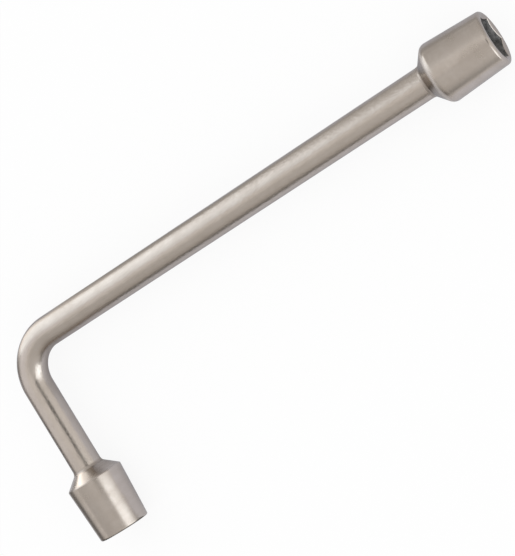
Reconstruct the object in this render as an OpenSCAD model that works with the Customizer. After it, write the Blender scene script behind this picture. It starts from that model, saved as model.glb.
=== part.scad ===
// L-shaped box spanner: a bent steel tube with a hexagon socket head welded on each end.
// Millimetres, +Z up. It lies flat: the long arm runs along +X and the short arm along -Y,
// and the widest part of each head touches Z = 0. The origin is under the middle of its outline.

/* [Shank] */
// Outside diameter of the tube
shank_d = 14; // [13:0.1:15]
// Wall of the tube, thick enough to bend this tightly without a crease
shank_wall = 3.5; // [2.5:0.1:5]
// Radius of the bend, measured to the tube's centre line
bend_r = 19.2; // [16:0.2:26]
// From the crossing of the arms' axes to the mouth of the long arm's head
long_arm = 258.5; // [200:0.5:320]
// From the crossing of the arms' axes to the mouth of the short arm's head
short_arm = 93; // [80:1:140]

/* [Socket heads] */
// Diameter at the mouth, before its edge is rounded
mouth_d = 24.1; // [23.8:0.1:26]
// Diameter at the shoulder, before its edge is rounded
shoulder_d = 26.9; // [26.2:0.1:30]
// From the shoulder to the mouth of the long arm's head
long_head_length = 27.2; // [24:0.2:34]
// From the shoulder to the mouth of the short arm's head
short_head_length = 26.4; // [24:0.2:34]
// Slope of the cone behind the shoulder, from the head's axis
cone_angle = 50; // [38:1:55]
// Rounding of the shoulder on the long arm's head, which is polished off further
long_shoulder_round = 3.6; // [0.4:0.1:4]
// Rounding of the shoulder on the short arm's head
short_shoulder_round = 0.8; // [0.4:0.1:3]
// Rounding of the mouth's edge on the long arm's head
long_mouth_round = 1.5; // [0.4:0.1:1.6]
// Rounding of the mouth's edge on the short arm's head
short_mouth_round = 0.9; // [0.4:0.1:1.8]

/* [Hexagon sockets] */
// Width across the flats: a 17 mm nut with its clearance
hex_flats = 17.25; // [17.05:0.05:17.5]
// Depth of the hexagon from the mouth
hex_depth = 15; // [12:0.5:16]
// Diameter of the bevelled lead-in where it meets the mouth's flat ring
lead_in_d = 20.8; // [18.2:0.1:21]
// Diameter of the round chip recess below the hexagon
recess_d = 16.6; // [14:0.1:16.8]
// Depth of the chip recess
recess_depth = 2; // [1:0.5:3]
// Floor between the recess and the end of the tube
floor_t = 4; // [3:0.5:5]
// Turn of the long arm's hexagon from having a corner straight up
long_hex_turn = -6; // [-30:1:30]
// Turn of the short arm's hexagon from having a corner straight up
short_hex_turn = 0; // [-30:1:30]

/* [Neck welds] */
// Radius of the hollow that the dressed weld leaves between the tube and the long arm's cone
long_weld_r = 2; // [1:0.1:5]
// Radius of that hollow on the short arm
short_weld_r = 2; // [1:0.1:5]
// Height of the weld's edge above the tube
weld_edge = 0.1; // [0.05:0.05:0.3]
// Gap round the tube where it sits in the head
seat_gap = 0.05; // [0.02:0.01:0.2]

/* [Hidden] */
$fn = 128;
shank_r = shank_d / 2;
bore_r = shank_r - shank_wall;
hex_corner_r = hex_flats / sqrt(3);
// Extra length by which a cutting shape runs past the face that it cuts
past = 1;
// A round stands out this much, so that it crosses both sides of its corner cleanly
proud = 0.0005;

// Radius at which the cone ends, where the weld's hollow is tangent to it and level with the tube
function neck_r(weld_r) = shank_r + weld_edge + weld_r * (1 - cos(cone_angle));

// Corners of a head's outline, as [radius, height], with the mouth at height 0:
// mouth middle, mouth edge, shoulder, neck edge and neck middle
function head_corners(length, weld_r) =
    let (neck_height = -length - (shoulder_d / 2 - neck_r(weld_r)) / tan(cone_angle))
    [[0, 0], [mouth_d / 2, 0], [shoulder_d / 2, -length], [neck_r(weld_r), neck_height], [0, neck_height]];
// Places of those corners in the list
mouth_middle = 0;
mouth_edge = 1;
shoulder = 2;
neck_edge = 3;
long_corners = head_corners(long_head_length, long_weld_r);
short_corners = head_corners(short_head_length, short_weld_r);

// Depth at which the tube's end sits on the floor, from the mouth
seat_depth = hex_depth + recess_depth + floor_t;

// Centre and tangent points of a round of radius r on the corner b between a and c
function unit(v) = v / norm(v);
function half_angle(a, b, c) = acos(unit(a - b) * unit(c - b)) / 2;
function round_centre(a, b, c, r) =
    b + unit(unit(a - b) + unit(c - b)) * r / sin(half_angle(a, b, c));
function round_ends(a, b, c, r) =
    let (reach = r / tan(half_angle(a, b, c)))
    [b + unit(a - b) * reach, b + unit(c - b) * reach];

// Largest radius of a head with these corners whose shoulder has this round
function widest_r(corners, shoulder_round) =
    round_centre(corners[mouth_edge], corners[shoulder], corners[neck_edge], shoulder_round)[0]
    + shoulder_round;
long_head_r = widest_r(long_corners, long_shoulder_round);
short_head_r = widest_r(short_corners, short_shoulder_round);

// Where the arms' axes cross, from the origin
crossing = [
    (short_head_r - long_arm) / 2,
    (short_arm - long_head_r) / 2,
    max(long_head_r, short_head_r)
];
// Headings of the two arms, in degrees from +X
long_heading = 0;
short_heading = -90;

// Turns +Z along an arm, with +X straight down
module along(heading) {
    translate(crossing) rotate([0, 0, heading]) rotate([0, 90, 0]) children();
}

// A round bar of radius r along both arms and the bend, with its ends moved out by extra
module bent_bar(r, extra = 0) {
    along(long_heading) translate([0, 0, bend_r])
        cylinder(h = long_arm - seat_depth - bend_r + extra, r = r);
    along(short_heading) translate([0, 0, bend_r])
        cylinder(h = short_arm - seat_depth - bend_r + extra, r = r);
    translate(crossing + [bend_r, -bend_r, 0]) rotate([0, 0, 90])
        rotate_extrude(angle = 90) translate([bend_r, 0]) circle(r);
}

// The tube, bent through a right angle
module bent_shank() {
    color([0.73, 0.70, 0.66]) difference() {
        bent_bar(shank_r);
        bent_bar(bore_r, past);
    }
}

// What a round of radius r takes off the corner b between a and c: the sector between the
// tangent points, outside the round, carried on past the corner
module corner_waste(a, b, c, r) {
    centre = round_centre(a, b, c, r);
    ends = round_ends(a, b, c, r);
    translate(centre) difference() {
        polygon([[0, 0], for (p = [ends[0], b, ends[1]]) (p - centre) * 2]);
        circle(r + proud);
    }
}

// Half section of a head's outside: tapered sides, rounded edges and the cone down to the neck
module head_section(corners, shoulder_round, mouth_round) {
    difference() {
        polygon(corners);
        corner_waste(corners[mouth_middle], corners[mouth_edge], corners[shoulder], mouth_round);
        corner_waste(corners[mouth_edge], corners[shoulder], corners[neck_edge], shoulder_round);
    }
}

// The hexagon, its bevelled lead-in and the chip recess below it
module hex_socket(turn) {
    translate([0, 0, -hex_depth]) rotate([0, 0, turn])
        cylinder(h = hex_depth + past, r = hex_corner_r, $fn = 6);
    translate([0, 0, -lead_in_d / 2])
        cylinder(h = lead_in_d / 2 + past, r1 = 0, r2 = lead_in_d / 2 + past);
    translate([0, 0, -hex_depth - recess_depth])
        cylinder(h = recess_depth + past, d = recess_d);
}

// A socket head with its mouth at height 0: the hexagon in front, the tube's seat behind
module socket_head(corners, shoulder_round, mouth_round, hex_turn) {
    neck_height = corners[neck_edge][1];
    difference() {
        rotate_extrude() head_section(corners, shoulder_round, mouth_round);
        hex_socket(hex_turn);
        translate([0, 0, neck_height - past])
            cylinder(h = -seat_depth - neck_height + past, r = shank_r + seat_gap);
    }
}

// The dressed fillet weld round the tube, against the back of the head
module neck_weld(corners, weld_r) {
    neck_height = corners[neck_edge][1];
    weld_length = weld_r * sin(cone_angle);
    rotate_extrude() translate([0, neck_height - weld_length]) difference() {
        translate([shank_r, 0]) square([neck_r(weld_r) - shank_r, weld_length]);
        translate([shank_r + weld_edge + weld_r, 0]) circle(weld_r);
    }
}

module long_arm_socket() {
    color([0.70, 0.67, 0.63]) along(long_heading) translate([0, 0, long_arm])
        socket_head(long_corners, long_shoulder_round, long_mouth_round, long_hex_turn);
}

module long_arm_weld() {
    color([0.76, 0.73, 0.69]) along(long_heading) translate([0, 0, long_arm])
        neck_weld(long_corners, long_weld_r);
}

module short_arm_socket() {
    color([0.70, 0.67, 0.63]) along(short_heading) translate([0, 0, short_arm])
        socket_head(short_corners, short_shoulder_round, short_mouth_round, short_hex_turn);
}

module short_arm_weld() {
    color([0.76, 0.73, 0.69]) along(short_heading) translate([0, 0, short_arm])
        neck_weld(short_corners, short_weld_r);
}

bent_shank();
long_arm_socket();
long_arm_weld();
short_arm_socket();
short_arm_weld();
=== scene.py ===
import math
import bmesh
import bpy
from mathutils import Matrix, Vector


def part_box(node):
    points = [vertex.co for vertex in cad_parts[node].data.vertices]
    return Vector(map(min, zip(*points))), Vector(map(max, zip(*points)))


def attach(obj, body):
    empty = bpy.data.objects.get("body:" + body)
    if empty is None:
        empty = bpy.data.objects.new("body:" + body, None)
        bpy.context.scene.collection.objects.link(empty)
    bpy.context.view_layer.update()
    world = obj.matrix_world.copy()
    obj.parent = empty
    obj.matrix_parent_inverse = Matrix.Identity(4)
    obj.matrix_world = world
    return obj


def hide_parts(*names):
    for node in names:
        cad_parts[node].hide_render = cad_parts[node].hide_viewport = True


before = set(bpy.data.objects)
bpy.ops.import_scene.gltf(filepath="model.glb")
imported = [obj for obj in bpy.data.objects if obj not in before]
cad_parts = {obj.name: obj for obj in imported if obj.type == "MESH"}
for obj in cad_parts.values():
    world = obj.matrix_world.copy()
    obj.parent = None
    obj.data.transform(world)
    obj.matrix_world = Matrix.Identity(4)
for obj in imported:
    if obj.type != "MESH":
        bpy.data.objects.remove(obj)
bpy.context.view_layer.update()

# Bent shank
# The thick-walled steel tube that makes both arms. It is cut to length, bent cold through a right
# angle round a former, then polished lengthwise on a belt and plated with satin nickel.
mm = 0.001
shank_low, shank_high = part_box("bent_shank")
tube_r = (shank_high.z - shank_low.z) / 2
tube_wall = 3.5 * mm
tube_sides = 96
tube_ring_spacing = 1.2 * mm
tube_waviness = 0.05 * mm
tube_wave_length = 16 * mm
bend_r = 19.2 * mm
bend_steps = 64
nickel_edge_tint = (0.88, 0.87, 0.86, 1)
streak_share = 0.18
# Where the axes of the two arms cross
crossing = Vector((shank_low.x + tube_r, shank_high.y - tube_r, (shank_low.z + shank_high.z) / 2))


def add(tree, kind, inputs=None, **settings):
    """A new node of this kind. Its inputs are set to plain values or linked to other nodes' sockets."""
    node = tree.nodes.new(kind)
    for setting, value in settings.items():
        setattr(node, setting, value)
    for name, value in (inputs or {}).items():
        if isinstance(value, bpy.types.NodeSocket):
            tree.links.new(value, node.inputs[name])
        else:
            node.inputs[name].default_value = value
    return node


def calc(tree, operation, *values):
    """The result of a Math node on these values."""
    return add(tree, "ShaderNodeMath", dict(enumerate(values)), operation=operation).outputs[0]


def vector_calc(tree, operation, *values):
    """The result of a Vector Math node: a number for a length or a dot product, otherwise a vector."""
    result = "Value" if operation in ("LENGTH", "DOT_PRODUCT") else "Vector"
    return add(tree, "ShaderNodeVectorMath", dict(enumerate(values)), operation=operation).outputs[result]


def scaled(tree, vector, factor):
    """A vector times a number."""
    return add(tree, "ShaderNodeVectorMath", {0: vector, "Scale": factor}, operation="SCALE").outputs[0]


def ramp(tree, value, start, end, at_start=0.0, at_end=1.0):
    """A number that runs from at_start to at_end while the value runs from start to end."""
    return add(tree, "ShaderNodeMapRange",
               {"Value": value, "From Min": start, "From Max": end,
                "To Min": at_start, "To Max": at_end}).outputs[0]


def blend(tree, share, first, second):
    """A colour between two, by the share of the second."""
    first_socket, second_socket, colour_output = 6, 7, 2
    mixed = add(tree, "ShaderNodeMix", {"Factor": share, first_socket: first, second_socket: second},
                data_type="RGBA")
    return mixed.outputs[colour_output]


def new_group(name, kind, inputs, outputs):
    """A node group with named inputs and outputs. Returns it with the sockets to build between."""
    group = bpy.data.node_groups.new(name, kind)
    for in_out, sockets in (("INPUT", inputs), ("OUTPUT", outputs)):
        for socket_name, socket_type in sockets.items():
            group.interface.new_socket(name=socket_name, in_out=in_out, socket_type=socket_type)
    return group, group.nodes.new("NodeGroupInput").outputs, group.nodes.new("NodeGroupOutput").inputs


def grow(name, group, values):
    """A plain mesh object from a Geometry Nodes group and the values of its inputs."""
    piece = bpy.data.objects.new(name, bpy.data.meshes.new(name))
    bpy.context.scene.collection.objects.link(piece)
    shaping = piece.modifiers.new("shaping", "NODES")
    shaping.node_group = group
    for socket in group.interface.items_tree:
        if socket.in_out == "INPUT":
            shaping[socket.identifier] = values[socket.name]
    shaped = piece.evaluated_get(bpy.context.evaluated_depsgraph_get())
    grown = bpy.data.meshes.new_from_object(shaped)
    piece.modifiers.remove(shaping)
    piece.data = grown
    return piece


def polish_group():
    """Satin nickel over polished steel: fine polishing lines, and soft clouds in colour and gloss.
    Grain is a place on the surface in metres, with its Z along the polishing lines."""
    group, size, result = new_group(
        "satin_polish", "ShaderNodeTree",
        {"Grain": "NodeSocketVector", "Line width": "NodeSocketFloat", "Line length": "NodeSocketFloat",
         "Cloud size": "NodeSocketFloat", "Light tone": "NodeSocketColor", "Deep tone": "NodeSocketColor",
         "Smooth": "NodeSocketFloat", "Dull": "NodeSocketFloat"},
        {"Color": "NodeSocketColor", "Roughness": "NodeSocketFloat", "Height": "NodeSocketFloat"})

    def noise(width, length, detail, roughness):
        """Noise in spots of this width across the polishing lines and this length along them."""
        spot_size = add(group, "ShaderNodeCombineXYZ", {0: width, 1: width, 2: length})
        in_spots = vector_calc(group, "DIVIDE", size["Grain"], spot_size.outputs[0])
        spots = add(group, "ShaderNodeTexNoise",
                    {"Vector": in_spots, "Scale": 1.0, "Detail": detail, "Roughness": roughness})
        return spots.outputs["Fac"]

    lines = noise(size["Line width"], size["Line length"], detail=2.0, roughness=0.6)
    clouds = noise(size["Cloud size"], size["Cloud size"], detail=3.0, roughness=0.55)
    spread = ramp(group, clouds, start=0.3, end=0.7)
    streaks = ramp(group, lines, start=0.25, end=0.75, at_start=-streak_share, at_end=streak_share)
    tone = add(group, "ShaderNodeMath", {0: spread, 1: streaks}, operation="ADD", use_clamp=True).outputs[0]
    colour = blend(group, tone, size["Light tone"], size["Deep tone"])
    gloss = ramp(group, tone, start=0.0, end=1.0, at_start=size["Smooth"], at_end=size["Dull"])
    group.links.new(colour, result["Color"])
    group.links.new(gloss, result["Roughness"])
    group.links.new(lines, result["Height"])
    return group


satin_polish = polish_group()


def nickel(name, light_tone, deep_tone, smooth, dull, line_width, line_length, cloud_size, line_depth):
    """A plated metal that shows its polish. Returns the material, its tree and the polish node,
    whose Grain input is still to be linked."""
    material = bpy.data.materials.new(name)
    material.use_nodes = True
    tree = material.node_tree
    shader = tree.nodes["Principled BSDF"]
    shader.inputs["Metallic"].default_value = 1.0
    shader.inputs["Specular Tint"].default_value = nickel_edge_tint
    polish = add(tree, "ShaderNodeGroup",
                 {"Light tone": light_tone, "Deep tone": deep_tone, "Smooth": smooth, "Dull": dull,
                  "Line width": line_width, "Line length": line_length, "Cloud size": cloud_size},
                 node_tree=satin_polish)
    relief = add(tree, "ShaderNodeBump", {"Height": polish.outputs["Height"], "Distance": line_depth})
    tree.links.new(polish.outputs["Color"], shader.inputs["Base Color"])
    tree.links.new(polish.outputs["Roughness"], shader.inputs["Roughness"])
    tree.links.new(relief.outputs["Normal"], shader.inputs["Normal"])
    return material, tree, polish


def finished_skin(group, mesh, bumps, bump_height, finish):
    """A mesh whose skin is moved in and out by noise between 0 and 1, shaded smooth, in its finish."""
    noise_middle = 0.5
    centred = calc(group, "SUBTRACT", bumps, noise_middle)
    height = calc(group, "MULTIPLY", centred, bump_height)
    outward = add(group, "GeometryNodeInputNormal")
    lift = scaled(group, outward.outputs[0], height)
    moved = add(group, "GeometryNodeSetPosition", {"Geometry": mesh.outputs[0], "Offset": lift})
    smooth = add(group, "GeometryNodeSetShadeSmooth", {"Geometry": moved.outputs[0]})
    whole = add(group, "GeometryNodeRealizeInstances", {"Geometry": smooth.outputs[0]})
    finished = add(group, "GeometryNodeSetMaterial", {"Geometry": whole.outputs[0], "Material": finish})
    return finished.outputs[0]


def bent_tube_group():
    """A round tube swept along two straight arms and the bend between them. It keeps each point's place
    on the tube, round it and along it, for the polish to follow."""
    group, size, result = new_group(
        "bent_tube", "GeometryNodeTree",
        {"Long end": "NodeSocketVector", "Corner": "NodeSocketVector", "Short end": "NodeSocketVector",
         "Bend radius": "NodeSocketFloat", "Bend steps": "NodeSocketInt", "Tube radius": "NodeSocketFloat",
         "Sides": "NodeSocketInt", "Ring spacing": "NodeSocketFloat", "Waviness": "NodeSocketFloat",
         "Wave length": "NodeSocketFloat", "Finish": "NodeSocketMaterial"},
        {"Geometry": "NodeSocketGeometry"})
    line = add(group, "GeometryNodeCurvePrimitiveLine", {"Start": size["Long end"], "End": size["Short end"]})
    halved = add(group, "GeometryNodeSubdivideCurve", {"Curve": line.outputs[0], "Cuts": 1})
    index = add(group, "GeometryNodeInputIndex")
    middle_index, tolerance = 1.0, 0.5
    is_middle = calc(group, "COMPARE", index.outputs[0], middle_index, tolerance)
    cornered = add(group, "GeometryNodeSetPosition",
                   {"Geometry": halved.outputs[0], "Selection": is_middle, "Position": size["Corner"]})
    bent = add(group, "GeometryNodeFilletCurve",
               {"Curve": cornered.outputs[0], "Count": size["Bend steps"], "Radius": size["Bend radius"]},
               mode="POLY")
    stepped = add(group, "GeometryNodeResampleCurve",
                  {"Curve": bent.outputs[0], "Length": size["Ring spacing"]}, mode="LENGTH")
    upright = add(group, "GeometryNodeSetCurveNormal", {"Curve": stepped.outputs[0]}, mode="Z_UP")
    run = add(group, "GeometryNodeSplineParameter")
    path = add(group, "GeometryNodeStoreNamedAttribute",
               {"Geometry": upright.outputs[0], "Name": "along", "Value": run.outputs["Length"]},
               data_type="FLOAT", domain="POINT")
    circle = add(group, "GeometryNodeCurvePrimitiveCircle",
                 {"Resolution": size["Sides"], "Radius": size["Tube radius"]})
    place = add(group, "GeometryNodeInputPosition")
    section = add(group, "GeometryNodeStoreNamedAttribute",
                  {"Geometry": circle.outputs[0], "Name": "around", "Value": place.outputs[0]},
                  data_type="FLOAT_VECTOR", domain="POINT")
    swept = add(group, "GeometryNodeCurveToMesh",
                {"Curve": path.outputs[0], "Profile Curve": section.outputs[0]})
    around = add(group, "GeometryNodeInputNamedAttribute", {"Name": "around"}, data_type="FLOAT_VECTOR")
    along = add(group, "GeometryNodeInputNamedAttribute", {"Name": "along"}, data_type="FLOAT")
    lengthwise = add(group, "ShaderNodeCombineXYZ", {2: along.outputs[0]})
    unbent = vector_calc(group, "ADD", around.outputs[0], lengthwise.outputs[0])
    per_wave = calc(group, "DIVIDE", 1.0, size["Wave length"])
    waves = add(group, "ShaderNodeTexNoise",
                {"Vector": unbent, "Scale": per_wave, "Detail": 1.0, "Roughness": 0.4})
    skin = finished_skin(group, swept, waves.outputs["Fac"], size["Waviness"], size["Finish"])
    group.links.new(skin, result["Geometry"])
    return group


shank_nickel, shank_tree, shank_polish = nickel(
    "shank_satin_nickel", light_tone=(0.51, 0.45, 0.395, 1), deep_tone=(0.475, 0.415, 0.36, 1),
    smooth=0.2, dull=0.27, line_width=0.6 * mm, line_length=2 * mm, cloud_size=8 * mm, line_depth=0.08 * mm)
around_tube = add(shank_tree, "ShaderNodeAttribute", attribute_name="around")
along_tube = add(shank_tree, "ShaderNodeAttribute", attribute_name="along")
lengthwise_grain = add(shank_tree, "ShaderNodeCombineXYZ", {2: along_tube.outputs["Fac"]})
tube_grain = vector_calc(shank_tree, "ADD", around_tube.outputs["Vector"], lengthwise_grain.outputs[0])
shank_tree.links.new(tube_grain, shank_polish.inputs["Grain"])

shank = grow("polished_shank", bent_tube_group(), {
    "Long end": (shank_high.x, crossing.y, crossing.z), "Corner": tuple(crossing),
    "Short end": (crossing.x, shank_low.y, crossing.z), "Bend radius": bend_r, "Bend steps": bend_steps,
    "Tube radius": tube_r, "Sides": tube_sides, "Ring spacing": tube_ring_spacing,
    "Waviness": tube_waviness, "Wave length": tube_wave_length, "Finish": shank_nickel})
tube_bore = shank.modifiers.new("bore", "SOLIDIFY")
tube_bore.thickness = tube_wall
tube_bore.offset = -1
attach(shank, "root")
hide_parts("bent_shank")

# Socket heads
# A forged steel head on each arm: tapered round sides, a conical shoulder behind, and in its mouth a
# broached hexagon with a bevelled lead-in. Each is turned and buffed round its axis, nickel plated,
# and pushed over the tube's end.
mouth_r = 12.05 * mm
shoulder_r = 13.45 * mm
cone_angle = math.radians(50)
weld_edge = 0.1 * mm
seat_r = tube_r + 0.05 * mm
seat_depth = 21 * mm
hex_half_flats = 8.625 * mm
hex_depth = 15 * mm
hex_sector = math.radians(60)
lead_in_r = 10.4 * mm
lead_in_slope = math.tan(math.radians(25))
hex_edge = 0.25 * mm
hex_edge_bulge = 0.3 * hex_edge
recess_r = 8.3 * mm
recess_depth = 2 * mm
hex_steps = 32
arc_steps = 14
side_steps = 18
same_point = 0.0001 * mm
head_crease = math.radians(25)
broached_metallic = 0.55
full_wear_and_highlight_share = 0.3
wear_and_highlight_behind = 0.5 * mm
wear_and_highlight_width = 1.1 * mm
# Pale tone of the buffed shoulder ring, whose paleness is partly a painted highlight
wear_and_highlight_tone = (0.88, 0.84, 0.81, 1)
# Colour of a painted shade that darkens the hollow by the neck
shade_tone = (0.1, 0.09, 0.075, 1)


def along_arm(heading, reach):
    """Turns +Z along an arm, with +X straight down, and moves it out by reach from the crossing."""
    return (Matrix.Translation(crossing) @ Matrix.Rotation(math.radians(heading), 4, "Z")
            @ Matrix.Rotation(math.radians(90), 4, "Y") @ Matrix.Translation((0, 0, reach)))


def hex_radius(angle):
    """Distance from the axis to the hexagon's flat at an angle from one of its corners."""
    return hex_half_flats / math.cos(angle % hex_sector - hex_sector / 2)


def hex_angles():
    """Angles round a head, in even steps that meet the hexagon's corners."""
    return [hex_sector * step / hex_steps for step in range(6 * hex_steps)]


def rounded(before, corner, after, radius):
    """Points along the round of a profile's corner, from the side of before to the side of after."""
    toward_before = (before - corner).normalized()
    toward_after = (after - corner).normalized()
    half = toward_before.angle(toward_after) / 2
    centre = corner + (toward_before + toward_after).normalized() * radius / math.sin(half)
    start = corner + toward_before * radius / math.tan(half) - centre
    turn = math.pi - 2 * half
    if start.cross(corner + toward_after * radius / math.tan(half) - centre) < 0:
        turn = -turn
    return [centre + Matrix.Rotation(turn * step / arc_steps, 2) @ start for step in range(arc_steps + 1)]


def between(start, end):
    """Points from start to end, closer together near both, so that the rounds beside them stay crisp."""
    shares = [(1 - math.cos(math.pi * step / side_steps)) / 2 for step in range(1, side_steps)]
    return [start.lerp(end, share) for share in shares]


def neck_edge(head):
    """Radius and height at which a head's cone ends, where the hollow of the weld is tangent to it."""
    radius = tube_r + weld_edge + head["weld_r"] * (1 - math.cos(cone_angle))
    return Vector((radius, -head["length"] - (shoulder_r - radius) / math.tan(cone_angle)))


def head_rings(head, angles):
    """Rings of points from the bottom of the tube's seat, over the outside and down into the hexagon.
    Each is a list of (radius, height) with the mouth at height 0. Also gives the first ring inside."""
    mouth_middle = Vector((0, 0))
    mouth_corner = Vector((mouth_r, 0))
    shoulder_corner = Vector((shoulder_r, -head["length"]))
    neck = neck_edge(head)
    shoulder = rounded(neck, shoulder_corner, mouth_corner, head["shoulder_round"])
    rim = rounded(shoulder_corner, mouth_corner, mouth_middle, head["mouth_round"])
    outline = [Vector((seat_r, -seat_depth)), Vector((seat_r, neck.y)), neck]
    outline += between(neck, shoulder[0]) + shoulder + between(shoulder[-1], rim[0])
    outline += rim + [Vector((lead_in_r, 0))]
    rings = [[tuple(point)] * len(angles) for point in outline]
    walls = [hex_radius(angle) for angle in angles]
    rings.append([(wall + hex_edge, lead_in_slope * (wall + hex_edge - lead_in_r)) for wall in walls])
    rings.append([(wall + hex_edge_bulge, lead_in_slope * (wall - lead_in_r)) for wall in walls])
    rings.append([(wall, lead_in_slope * (wall - lead_in_r) - hex_edge) for wall in walls])
    first_inside = len(rings) - 1
    rings.append([(wall, -hex_depth) for wall in walls])
    rings.append([(recess_r, -hex_depth)] * len(angles))
    rings.append([(recess_r, -hex_depth - recess_depth)] * len(angles))
    return rings, first_inside


def head_mesh(head):
    """A closed head. Its second material is for the hexagon and the recess."""
    place = along_arm(head["heading"], head["reach"])
    angles = hex_angles()
    rings, first_inside = head_rings(head, angles)
    shape = bmesh.new()
    loops = []
    for ring in rings:
        loops.append([])
        for angle, (radius, height) in zip(angles, ring):
            turned = angle + head["hex_turn"]
            point = Vector((radius * math.cos(turned), radius * math.sin(turned), height))
            loops[-1].append(shape.verts.new(place @ point))
    for number, (loop, after) in enumerate(zip(loops, loops[1:])):
        for side in range(len(angles)):
            corners = [loop[side - 1], loop[side], after[side], after[side - 1]]
            shape.faces.new(corners).material_index = 1 if number >= first_inside else 0
    bottoms = ((loops[0], seat_depth), (loops[-1], hex_depth + recess_depth))
    for material_index, (loop, depth) in enumerate(bottoms):
        middle = shape.verts.new(place @ Vector((0, 0, -depth)))
        for side in range(len(angles)):
            shape.faces.new([middle, loop[side - 1], loop[side]]).material_index = material_index
    bmesh.ops.remove_doubles(shape, verts=shape.verts, dist=same_point)
    bmesh.ops.recalc_face_normals(shape, faces=shape.faces)
    for face in shape.faces:
        face.smooth = True
    mesh = bpy.data.meshes.new(head["name"])
    shape.to_mesh(mesh)
    shape.free()
    mesh.set_sharp_from_angle(angle=head_crease)
    return mesh


def turned_grain(tree, heading):
    """Place on a head for the polish to follow: height on the axis and distance from it across the lines."""
    coordinates = add(tree, "ShaderNodeTexCoord")
    to_axis = add(tree, "ShaderNodeMapping",
                  {"Vector": coordinates.outputs["Object"], "Location": crossing,
                   "Rotation": (0, 0, math.radians(heading))}, vector_type="TEXTURE")
    parts = add(tree, "ShaderNodeSeparateXYZ", {0: to_axis.outputs[0]})
    off_axis = add(tree, "ShaderNodeCombineXYZ", {1: parts.outputs["Y"], 2: parts.outputs["Z"]})
    distance = vector_calc(tree, "LENGTH", off_axis.outputs[0])
    return add(tree, "ShaderNodeCombineXYZ",
               {0: parts.outputs["X"], 1: distance, 2: parts.outputs["Y"]}).outputs[0]


def edge_wear_highlight_and_shade_group():
    """Buffing wears the shoulder dull and pale, and the pale ring is partly a painted highlight; the hollow
    by the neck is darkened as a painted shade.
    Edge and Neck are their places along the arm, in metres from the crossing."""
    group, size, result = new_group(
        "edge_wear_highlight_and_shade", "ShaderNodeTree",
        {"Grain": "NodeSocketVector", "Color": "NodeSocketColor", "Roughness": "NodeSocketFloat",
         "Edge": "NodeSocketFloat", "Width": "NodeSocketFloat", "Wear and highlight": "NodeSocketFloat",
         "Worn ring and highlight tone": "NodeSocketColor", "Neck": "NodeSocketFloat", "Neck shade": "NodeSocketFloat",
         "Shade tone": "NodeSocketColor"},
        {"Color": "NodeSocketColor", "Roughness": "NodeSocketFloat"})
    along = add(group, "ShaderNodeSeparateXYZ", {0: size["Grain"]}).outputs["X"]
    from_edge = calc(group, "ABSOLUTE", calc(group, "SUBTRACT", along, size["Edge"]))
    full_width = calc(group, "MULTIPLY", size["Width"], full_wear_and_highlight_share)
    # The buffed ring is dulled, and paled partly as a painted highlight along the shoulder
    wear_and_highlight = ramp(group, from_edge, full_width, size["Width"], at_start=size["Wear and highlight"], at_end=0.0)
    paler = blend(group, wear_and_highlight, size["Color"], size["Worn ring and highlight tone"])
    duller = calc(group, "ADD", size["Roughness"], wear_and_highlight)
    # Painted shade: the colour darkens from the shoulder towards the neck
    by_neck = ramp(group, along, size["Neck"], size["Edge"], at_start=size["Neck shade"], at_end=0.0)
    darker = blend(group, by_neck, paler, size["Shade tone"])
    group.links.new(darker, result["Color"])
    group.links.new(duller, result["Roughness"])
    return group


edge_wear_highlight_and_shade = edge_wear_highlight_and_shade_group()
long_mouth_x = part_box("long_arm_socket")[1].x
short_mouth_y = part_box("short_arm_socket")[0].y
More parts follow.
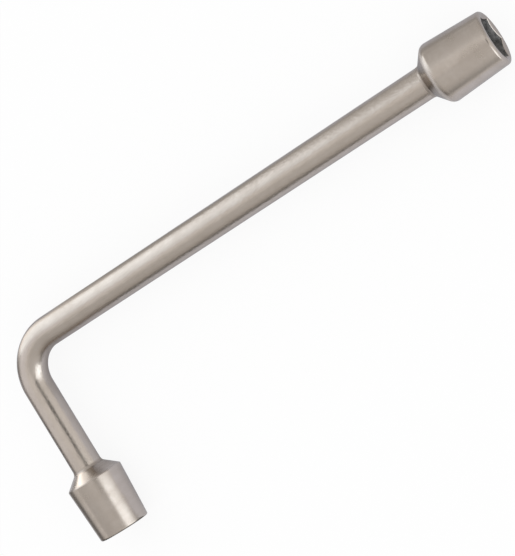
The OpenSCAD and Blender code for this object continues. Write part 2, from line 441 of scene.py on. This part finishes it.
# wear sets how dull and how pale the buffed shoulder ring is, its paleness partly a painted highlight;
# neck_shade sets a painted shade by the neck
heads = (
    {"name": "long_arm_head", "node": "long_arm_socket", "heading": 0,
     "reach": long_mouth_x - crossing.x, "length": 27.2 * mm, "shoulder_round": 3.6 * mm,
     "mouth_round": 1.5 * mm, "weld_r": 2 * mm, "hex_turn": math.radians(-6), "wear_and_highlight": 0.28,
     "neck_shade": 0.55},
    {"name": "short_arm_head", "node": "short_arm_socket", "heading": -90,
     "reach": crossing.y - short_mouth_y, "length": 26.4 * mm, "shoulder_round": 0.8 * mm,
     "mouth_round": 0.9 * mm, "weld_r": 2 * mm, "hex_turn": 0.0, "wear_and_highlight": 0.06, "neck_shade": 0.0},
)
for head in heads:
    mesh = head_mesh(head)
    outside, outside_tree, outside_polish = nickel(
        head["name"] + "_satin_nickel", light_tone=(0.505, 0.445, 0.392, 1),
        deep_tone=(0.452, 0.392, 0.338, 1), smooth=0.2, dull=0.28,
        line_width=0.3 * mm, line_length=60 * mm, cloud_size=5 * mm, line_depth=0.0015 * mm)
    outside_grain = turned_grain(outside_tree, head["heading"])
    outside_tree.links.new(outside_grain, outside_polish.inputs["Grain"])
    # Wear and a painted highlight on the shoulder ring, and a painted shade by the neck, over the polish
    wear_highlight_and_shade = add(outside_tree, "ShaderNodeGroup",
               {"Grain": outside_grain, "Color": outside_polish.outputs["Color"],
                "Roughness": outside_polish.outputs["Roughness"],
                "Edge": head["reach"] - head["length"] - wear_and_highlight_behind, "Width": wear_and_highlight_width,
                "Wear and highlight": head["wear_and_highlight"], "Worn ring and highlight tone": wear_and_highlight_tone,
                "Neck": head["reach"] + neck_edge(head).y, "Neck shade": head["neck_shade"],
                "Shade tone": shade_tone},
               node_tree=edge_wear_highlight_and_shade)
    outside_shader = outside_tree.nodes["Principled BSDF"]
    outside_tree.links.new(wear_highlight_and_shade.outputs["Color"], outside_shader.inputs["Base Color"])
    outside_tree.links.new(wear_highlight_and_shade.outputs["Roughness"], outside_shader.inputs["Roughness"])
    # The hexagon and recess: unplated broached steel, darkened further as a painted shade in the recess
    inside, inside_tree, inside_polish = nickel(
        head["name"] + "_broached_steel_and_shade", light_tone=(0.25, 0.24, 0.23, 1),
        deep_tone=(0.08, 0.078, 0.075, 1), smooth=0.38, dull=0.55,
        line_width=0.5 * mm, line_length=3 * mm, cloud_size=1.6 * mm, line_depth=0.01 * mm)
    inside_tree.nodes["Principled BSDF"].inputs["Metallic"].default_value = broached_metallic
    inside_tree.links.new(turned_grain(inside_tree, head["heading"]), inside_polish.inputs["Grain"])
    mesh.materials.append(outside)
    mesh.materials.append(inside)
    piece = bpy.data.objects.new(head["name"], mesh)
    bpy.context.scene.collection.objects.link(piece)
    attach(piece, "root")
    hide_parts(head["node"])

# Neck welds
# The fillet weld that joins each head to the tube. It was run round the neck, dressed hollow with a
# round file, and plated together with the rest.
weld_sides = 128
weld_steps = 14
weld_ripple = 0.06 * mm
weld_ripple_length = 2.5 * mm
weld_crease = math.radians(50)


def neck_weld_group():
    """A ring with a hollow face, on a tube along Z, from height 0 down."""
    group, size, result = new_group(
        "neck_weld", "GeometryNodeTree",
        {"Tube radius": "NodeSocketFloat", "Edge": "NodeSocketFloat", "Neck height": "NodeSocketFloat",
         "Length": "NodeSocketFloat", "Hollow radius": "NodeSocketFloat", "Sides": "NodeSocketInt",
         "Steps": "NodeSocketInt", "Ripple": "NodeSocketFloat", "Ripple length": "NodeSocketFloat",
         "Finish": "NodeSocketMaterial"},
        {"Geometry": "NodeSocketGeometry"})
    at_tube = add(group, "ShaderNodeCombineXYZ")
    at_neck = add(group, "ShaderNodeCombineXYZ", {0: size["Neck height"]})
    at_edge = add(group, "ShaderNodeCombineXYZ", {0: size["Edge"], 1: size["Length"]})
    at_toe = add(group, "ShaderNodeCombineXYZ", {1: size["Length"]})
    section = add(group, "GeometryNodeCurvePrimitiveQuadrilateral",
                  {"Point 1": at_tube.outputs[0], "Point 2": at_neck.outputs[0],
                   "Point 3": at_edge.outputs[0], "Point 4": at_toe.outputs[0]}, mode="POINTS")
    fine = add(group, "GeometryNodeSubdivideCurve", {"Curve": section.outputs[0], "Cuts": size["Steps"]})
    hollow_x = calc(group, "ADD", size["Edge"], size["Hollow radius"])
    hollow_centre = add(group, "ShaderNodeCombineXYZ", {0: hollow_x, 1: size["Length"]}).outputs[0]
    place = add(group, "GeometryNodeInputPosition")
    from_centre = vector_calc(group, "SUBTRACT", place.outputs[0], hollow_centre)
    distance = vector_calc(group, "LENGTH", from_centre)
    in_hollow = calc(group, "LESS_THAN", distance, size["Hollow radius"])
    outward = vector_calc(group, "NORMALIZE", from_centre)
    to_face = scaled(group, outward, size["Hollow radius"])
    on_face = vector_calc(group, "ADD", hollow_centre, to_face)
    hollowed = add(group, "GeometryNodeSetPosition",
                   {"Geometry": fine.outputs[0], "Selection": in_hollow, "Position": on_face})
    ring = add(group, "GeometryNodeCurvePrimitiveCircle",
               {"Resolution": size["Sides"], "Radius": size["Tube radius"]})
    swept = add(group, "GeometryNodeCurveToMesh",
                {"Curve": ring.outputs[0], "Profile Curve": hollowed.outputs[0]})
    per_ripple = calc(group, "DIVIDE", 1.0, size["Ripple length"])
    ripples = add(group, "ShaderNodeTexNoise", {"Scale": per_ripple, "Detail": 1.0})
    skin = finished_skin(group, swept, ripples.outputs["Fac"], size["Ripple"], size["Finish"])
    group.links.new(skin, result["Geometry"])
    return group


neck_weld = neck_weld_group()
for head, name, node in zip(heads, ("long_arm_neck", "short_arm_neck"), ("long_arm_weld", "short_arm_weld")):
    dressed, dressed_tree, dressed_polish = nickel(
        name + "_dressed_nickel", light_tone=(0.44, 0.385, 0.335, 1),
        deep_tone=(0.38, 0.325, 0.28, 1), smooth=0.34, dull=0.44,
        line_width=0.2 * mm, line_length=25 * mm, cloud_size=4 * mm, line_depth=0.002 * mm)
    dressed_tree.links.new(turned_grain(dressed_tree, head["heading"]), dressed_polish.inputs["Grain"])
    neck = neck_edge(head)
    piece = grow(name, neck_weld, {
        "Tube radius": tube_r, "Edge": weld_edge, "Neck height": neck.x - tube_r,
        "Length": head["weld_r"] * math.sin(cone_angle), "Hollow radius": head["weld_r"],
        "Sides": weld_sides, "Steps": weld_steps, "Ripple": weld_ripple,
        "Ripple length": weld_ripple_length, "Finish": dressed})
    piece.data.set_sharp_from_angle(angle=weld_crease)
    piece.data.transform(along_arm(head["heading"], head["reach"] + neck.y))
    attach(piece, "root")
    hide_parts(node)

# Floor
# A plain white table that fades into the white surroundings and keeps a trace of the spanner's shadow.
# In the metal it shows a painted glow, brighter towards the short arm's mouth, and a painted shade close to
# the spanner.
floor_r = 4.0
floor_sides = 96
floor_white = 0.88
white_light = (1, 1, 1, 1)
white_table_paint = (0.95, 0.95, 0.95, 1)
paint_in_metal = (0.50, 0.51, 0.555, 1)
painted_glow_colour = (0.95, 0.985, 1.08, 1)
toward_dim_side = (-0.2, 1, 0)
bright_edge = -0.03
bright_share = 0.82
dim_edge = 0.1
dim_share = 0.1
shade_reach = 0.025
shade_samples = 8
floor_mesh = bpy.data.meshes.new("floor")
floor_shape = bmesh.new()
bmesh.ops.create_circle(floor_shape, cap_ends=True, radius=floor_r, segments=floor_sides)
floor_shape.to_mesh(floor_mesh)
floor_shape.free()
floor = bpy.data.objects.new("floor", floor_mesh)
bpy.context.scene.collection.objects.link(floor)
floor_paint = bpy.data.materials.new("white_table")
floor_paint.use_nodes = True
floor_tree = floor_paint.node_tree
floor_tree.nodes.remove(floor_tree.nodes["Principled BSDF"])
ray = add(floor_tree, "ShaderNodeLightPath")
floor_place = add(floor_tree, "ShaderNodeTexCoord")
# Painted glow seen only in the metal: strong on one side of the table, faint on the other
across_floor = vector_calc(floor_tree, "DOT_PRODUCT", floor_place.outputs["Object"], toward_dim_side)
glow_share = ramp(floor_tree, across_floor, bright_edge, dim_edge, at_start=bright_share, at_end=dim_share)
to_metal = calc(floor_tree, "MAXIMUM", ray.outputs["Is Glossy Ray"], ray.outputs["Is Transmission Ray"])
# Painted shade: the glow in the metal dims where the spanner stands close above the floor
open_sky = add(floor_tree, "ShaderNodeAmbientOcclusion", {"Distance": shade_reach}, samples=shade_samples)
shaded_share = calc(floor_tree, "MULTIPLY", glow_share, open_sky.outputs["AO"])
in_metal = calc(floor_tree, "MULTIPLY", to_metal, shaded_share)
paint = add(floor_tree, "ShaderNodeBsdfDiffuse", {"Color": paint_in_metal})
painted_glow = add(floor_tree, "ShaderNodeEmission", {"Color": painted_glow_colour, "Strength": 1.0})
metal_view = add(floor_tree, "ShaderNodeMixShader", {0: in_metal, 1: paint.outputs[0], 2: painted_glow.outputs[0]})
white_paint = add(floor_tree, "ShaderNodeBsdfDiffuse", {"Color": white_table_paint})
white = add(floor_tree, "ShaderNodeEmission", {"Color": white_light, "Strength": 1.0})
camera_view = add(floor_tree, "ShaderNodeMixShader",
                  {0: floor_white, 1: white_paint.outputs[0], 2: white.outputs[0]})
floor_look = add(floor_tree, "ShaderNodeMixShader",
                 {0: ray.outputs["Is Camera Ray"], 1: metal_view.outputs[0], 2: camera_view.outputs[0]})
floor_tree.links.new(floor_look.outputs[0], floor_tree.nodes["Material Output"].inputs["Surface"])
floor_paint.cycles.emission_sampling = "NONE"
floor_mesh.materials.append(floor_paint)

# Studio
# White surroundings with a key and a side softbox, and tinted or grey boards, cards and mats round the
# spanner. The camera sees none of these sheets: they only show in the polished metal, as its bands.
tent_r = 2.0
board_steps = 48
neutral = (1.0, 1.0, 1.0)
cool = (0.955, 1.02, 1.085)
warm = (1.03, 1.0, 0.975)
lilac = (0.99, 0.995, 1.045)
mat_height = 0.3 * mm
pool_height = 0.4 * mm
flag_height = 0.5
camera_shade_height = 0.69
cone_card_height = 0.03
far_edge = -1.9
south_edge = -0.062
south_west_edge = -0.022
west_edge = 0.012
corner_edge = 0.03
softbox_corner = (0.222, -0.155)
card_corner = (0.17, -0.38)
world = bpy.data.worlds.new("white_room")
bpy.context.scene.world = world
world.use_nodes = True
world.node_tree.nodes["Background"].inputs["Color"].default_value = white_light
world.node_tree.nodes["Background"].inputs["Strength"].default_value = 1.0


def glow_material(name, one_sided):
    """Light in the colours that a sheet's own points hold. One that is one-sided is clear from behind."""
    material = bpy.data.materials.new(name)
    material.use_nodes = True
    tree = material.node_tree
    tree.nodes.remove(tree.nodes["Principled BSDF"])
    colour = add(tree, "ShaderNodeAttribute", attribute_name="glow")
    light = add(tree, "ShaderNodeEmission", {"Color": colour.outputs["Color"]})
    if one_sided:
        facing = add(tree, "ShaderNodeNewGeometry")
        clear = add(tree, "ShaderNodeBsdfTransparent")
        light = add(tree, "ShaderNodeMixShader",
                    {0: facing.outputs["Backfacing"], 1: light.outputs[0], 2: clear.outputs[0]})
    tree.links.new(light.outputs[0], tree.nodes["Material Output"].inputs["Surface"])
    return material


studio_glow = glow_material("studio_glow", one_sided=False)
one_sided_glow = glow_material("one_sided_glow", one_sided=True)


def sheet_of_light(name, rows, levels, tint=neutral, material=studio_glow):
    """A sheet that only shows in the metal. Each row of points takes the level from its pair in levels."""
    shape = bmesh.new()
    glow = shape.verts.layers.float_color.new("glow")
    grid = []
    for points, (_, level) in zip(rows, levels):
        corners = [shape.verts.new(point) for point in points]
        for corner in corners:
            corner[glow] = (*(share * level for share in tint), 1)
        grid.append(corners)
    for lower, upper in zip(grid, grid[1:]):
        for side in range(len(lower) - 1):
            shape.faces.new([lower[side], lower[side + 1], upper[side + 1], upper[side]])
    mesh = bpy.data.meshes.new(name)
    shape.to_mesh(mesh)
    shape.free()
    mesh.materials.append(material)
    piece = bpy.data.objects.new(name, mesh)
    bpy.context.scene.collection.objects.link(piece)
    piece.visible_camera = False
    piece.visible_diffuse = False
    piece.visible_shadow = False


def board(name, start, end, levels, tint=neutral):
    """A curved board round the table between two compass angles. levels holds (elevation, level)."""
    compass = [math.radians(start + (end - start) * step / board_steps) for step in range(board_steps + 1)]
    rows = []
    for elevation, _ in levels:
        height = tent_r * math.tan(math.radians(elevation))
        rows.append([(tent_r * math.cos(angle), tent_r * math.sin(angle), height) for angle in compass])
    sheet_of_light(name, rows, levels, tint)


def wall(name, start, end, levels, tint=neutral, end_lift=0.0):
    """A flat upright board between two places on the table. levels holds (height, level).
    Its end may stand higher than its start."""
    rows = [[(*start, height), (*end, height + end_lift)] for height, _ in levels]
    sheet_of_light(name, rows, levels, tint)


def pool(name, middle, reach, height, levels):
    """A flat sheet on the table that spreads from a place. levels holds (compass angle, level)."""
    rows = []
    for compass, _ in levels:
        angle = math.radians(compass)
        rows.append([(middle[0] + far * math.cos(angle), middle[1] + far * math.sin(angle), height)
                     for far in reach])
    sheet_of_light(name, rows, levels)


def mat(name, y_range, height, levels):
    """A flat grey sheet over the table. levels holds (x, level) from west to east."""
    rows = [[(x, y, height) for y in y_range] for x, _ in levels]
    sheet_of_light(name, rows, levels)


def screen(name, start, end, height, levels):
    """A low upright sheet lit on one side only, the left one from start to end.
    levels holds (share of the way, level)."""
    rows = []
    for share, _ in levels:
        foot = Vector(start).lerp(Vector(end), share)
        rows.append([(*foot, 0), (*foot, height)])
    sheet_of_light(name, rows, levels, material=one_sided_glow)


board("south_west_board", -160, -118, [
    (0, 0.18), (6, 0.15), (12, 0.42), (22, 0.54), (35, 0.66), (50, 0.75), (78, 0.82)], warm)
board("south_board", -118, -84, [
    (0, 0.25), (6, 0.18), (12, 0.42), (22, 0.56), (35, 0.67), (50, 0.75), (78, 0.82)], warm)
board("south_east_board", -84, -58, [(0, 0.2), (3, 0.25), (7, 0.6), (18, 0.8), (78, 0.88)])
board("north_board", 12, 108, [(0, 0.55), (4, 0.6), (10, 0.7), (35, 0.73), (62, 0.85)])
board("west_board", 152, 180, [
    (0, 0.3), (4, 0.5), (8, 0.8), (14, 1.0), (24, 1.04), (50, 1.05), (60, 1.0)], lilac)
board("far_west_board", 180, 202, [(0, 0.28), (4, 0.52), (8, 0.74), (14, 0.85), (24, 0.87)])
board("key_softbox", 112, 152, [(0, 1.94), (28, 1.81), (42, 1.53), (54, 1.38), (66, 1.12)], cool)
wall("side_softbox", (0.24, -0.08), softbox_corner, [
    (0.02, 1.35), (0.085, 1.95), (0.155, 2.4), (0.305, 2.5), (0.39, 2.2)], cool, end_lift=0.05)
wall("side_softbox_end", softbox_corner, card_corner, [
    (0.005, 1.75), (0.08, 2.3), (0.15, 2.55), (0.29, 2.15), (0.38, 1.6)], cool)
wall("south_card", (0.04, -0.38), card_corner, [
    (0.012, 0.38), (0.05, 0.48), (0.087, 0.56), (0.166, 0.7), (0.255, 0.76), (0.36, 0.87)])
pool("key_pool", (-0.13, 0.044), (0.03, 2.0), pool_height, [
    (10, 0.52), (30, 0.62), (60, 0.8), (85, 1.0), (100, 1.35), (112, 1.65), (125, 1.85), (140, 1.6),
    (150, 1.1), (158, 0.5), (166, 0.3), (186, 0.22)])
mat("south_mat", (far_edge, south_edge), mat_height, [
    (-0.9, 0.15), (-0.13, 0.16), (-0.06, 0.28), (0.0, 0.48), (0.06, 0.72), (0.12, 0.88), (0.9, 0.88)])
mat("south_west_mat", (south_edge, south_west_edge), mat_height, [
    (far_edge, 0.2), (-0.21, 0.22), (-0.165, 0.4)])
mat("west_mat", (south_west_edge, west_edge), mat_height, [(far_edge, 0.2), (-0.165, 0.22)])
mat("corner_mat", (west_edge, corner_edge), mat_height, [(far_edge, 0.2), (-0.21, 0.3), (-0.165, 0.62)])
screen("cone_card", (-0.143, 0.021), (-0.25, 0.064), cone_card_height, [
    (0, 1.8), (0.1, 2.9), (0.35, 2.9), (0.53, 1.7), (0.77, 0.8), (1, 0.4)])
mat("overhead_flag", (-0.6, -0.06), flag_height, [(-0.9, 0.66), (-0.3, 0.67), (-0.1, 0.74), (0.1, 0.8)])
mat("camera_shade", (-0.112, 0.113), camera_shade_height, [
    (0.1, 0.5), (0.15, 0.2), (0.2, 0.03), (0.435, 0.03)])

# Camera
# It stands where the photograph was taken from: high over the table, turned so that the long arm
# climbs to the right.
picture_height = 556
focal_length = 1700
sensor_width = 36
nearest_seen = 0.01
farthest_seen = 50
camera_aim = crossing + Vector((118.67, -30.1, 0)) * mm
camera_distance = 718.7 * mm
camera_azimuth = math.radians(85.41)
camera_elevation = math.radians(67.08)
camera_roll = math.radians(117.36)
backward = Vector((math.sin(camera_azimuth) * math.cos(camera_elevation),
                   -math.cos(camera_azimuth) * math.cos(camera_elevation), math.sin(camera_elevation)))
lens = bpy.data.cameras.new("camera")
lens.sensor_width = sensor_width
lens.lens = sensor_width * focal_length / picture_height
lens.clip_start = nearest_seen
lens.clip_end = farthest_seen
camera = bpy.data.objects.new("camera", lens)
bpy.context.scene.collection.objects.link(camera)
aimed = (-backward).to_track_quat("-Z", "Y").to_matrix().to_4x4()
camera.matrix_world = (Matrix.Translation(camera_aim + backward * camera_distance) @ aimed
                       @ Matrix.Rotation(-camera_roll, 4, "Z"))
bpy.context.scene.camera = camera
bpy.context.scene.view_settings.view_transform = "Standard"
